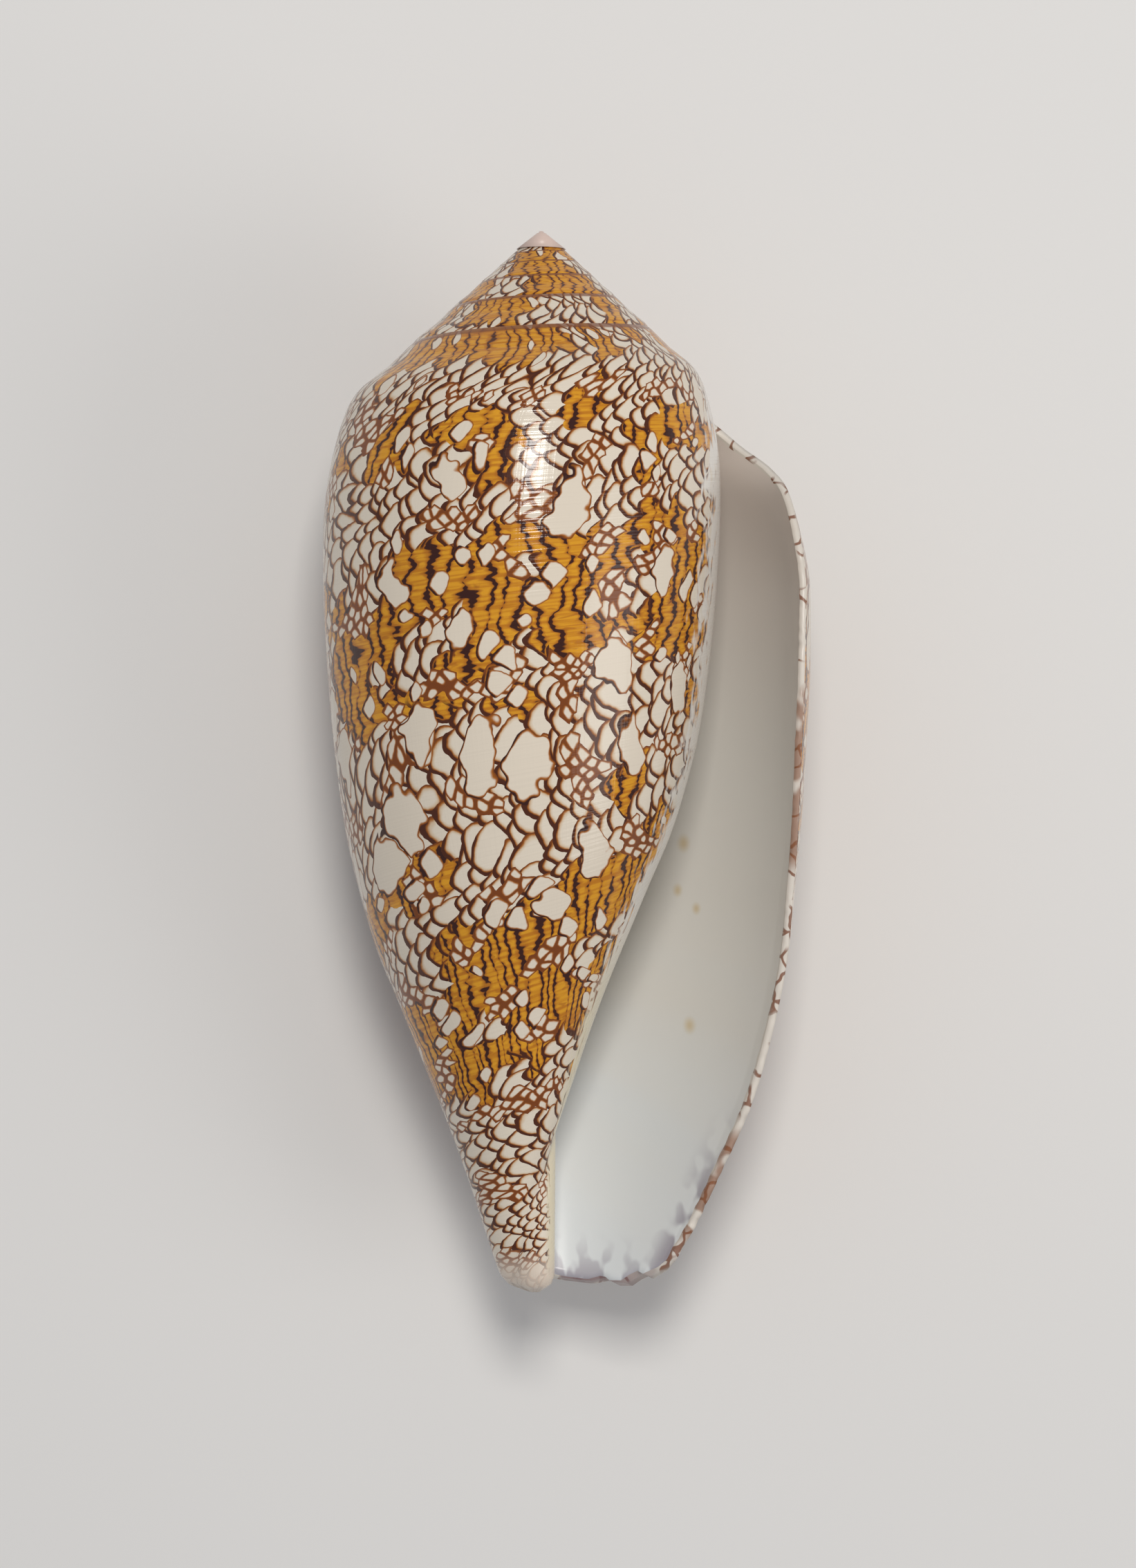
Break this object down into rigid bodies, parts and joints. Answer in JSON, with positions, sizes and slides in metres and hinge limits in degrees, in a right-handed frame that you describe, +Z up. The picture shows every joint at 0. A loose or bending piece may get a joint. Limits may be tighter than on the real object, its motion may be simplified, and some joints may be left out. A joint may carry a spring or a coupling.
{
  "type": "cone shell",
  "caption": "Long cone-shaped sea shell with a pointed spire, a tapering body whorl, a slit-like flaring aperture and a thin outer lip, patterned outside and glossy inside.",
  "frame": {"origin": "bottom centre of the bounding box, on the floor the shell rests on", "axes": "+Z up; +Y along the shell's axis toward the spire; +X toward the outer lip, the aperture looks up"},
  "size_m": [0.0412, 0.0898, 0.0368],
  "materials": {
    "shell": "glossy natural shell, tented brown, ochre and cream pattern outside, white inside"
  },
  "bodies": {
    "root": {"shell": "shell"}
  },
  "joints": []
}
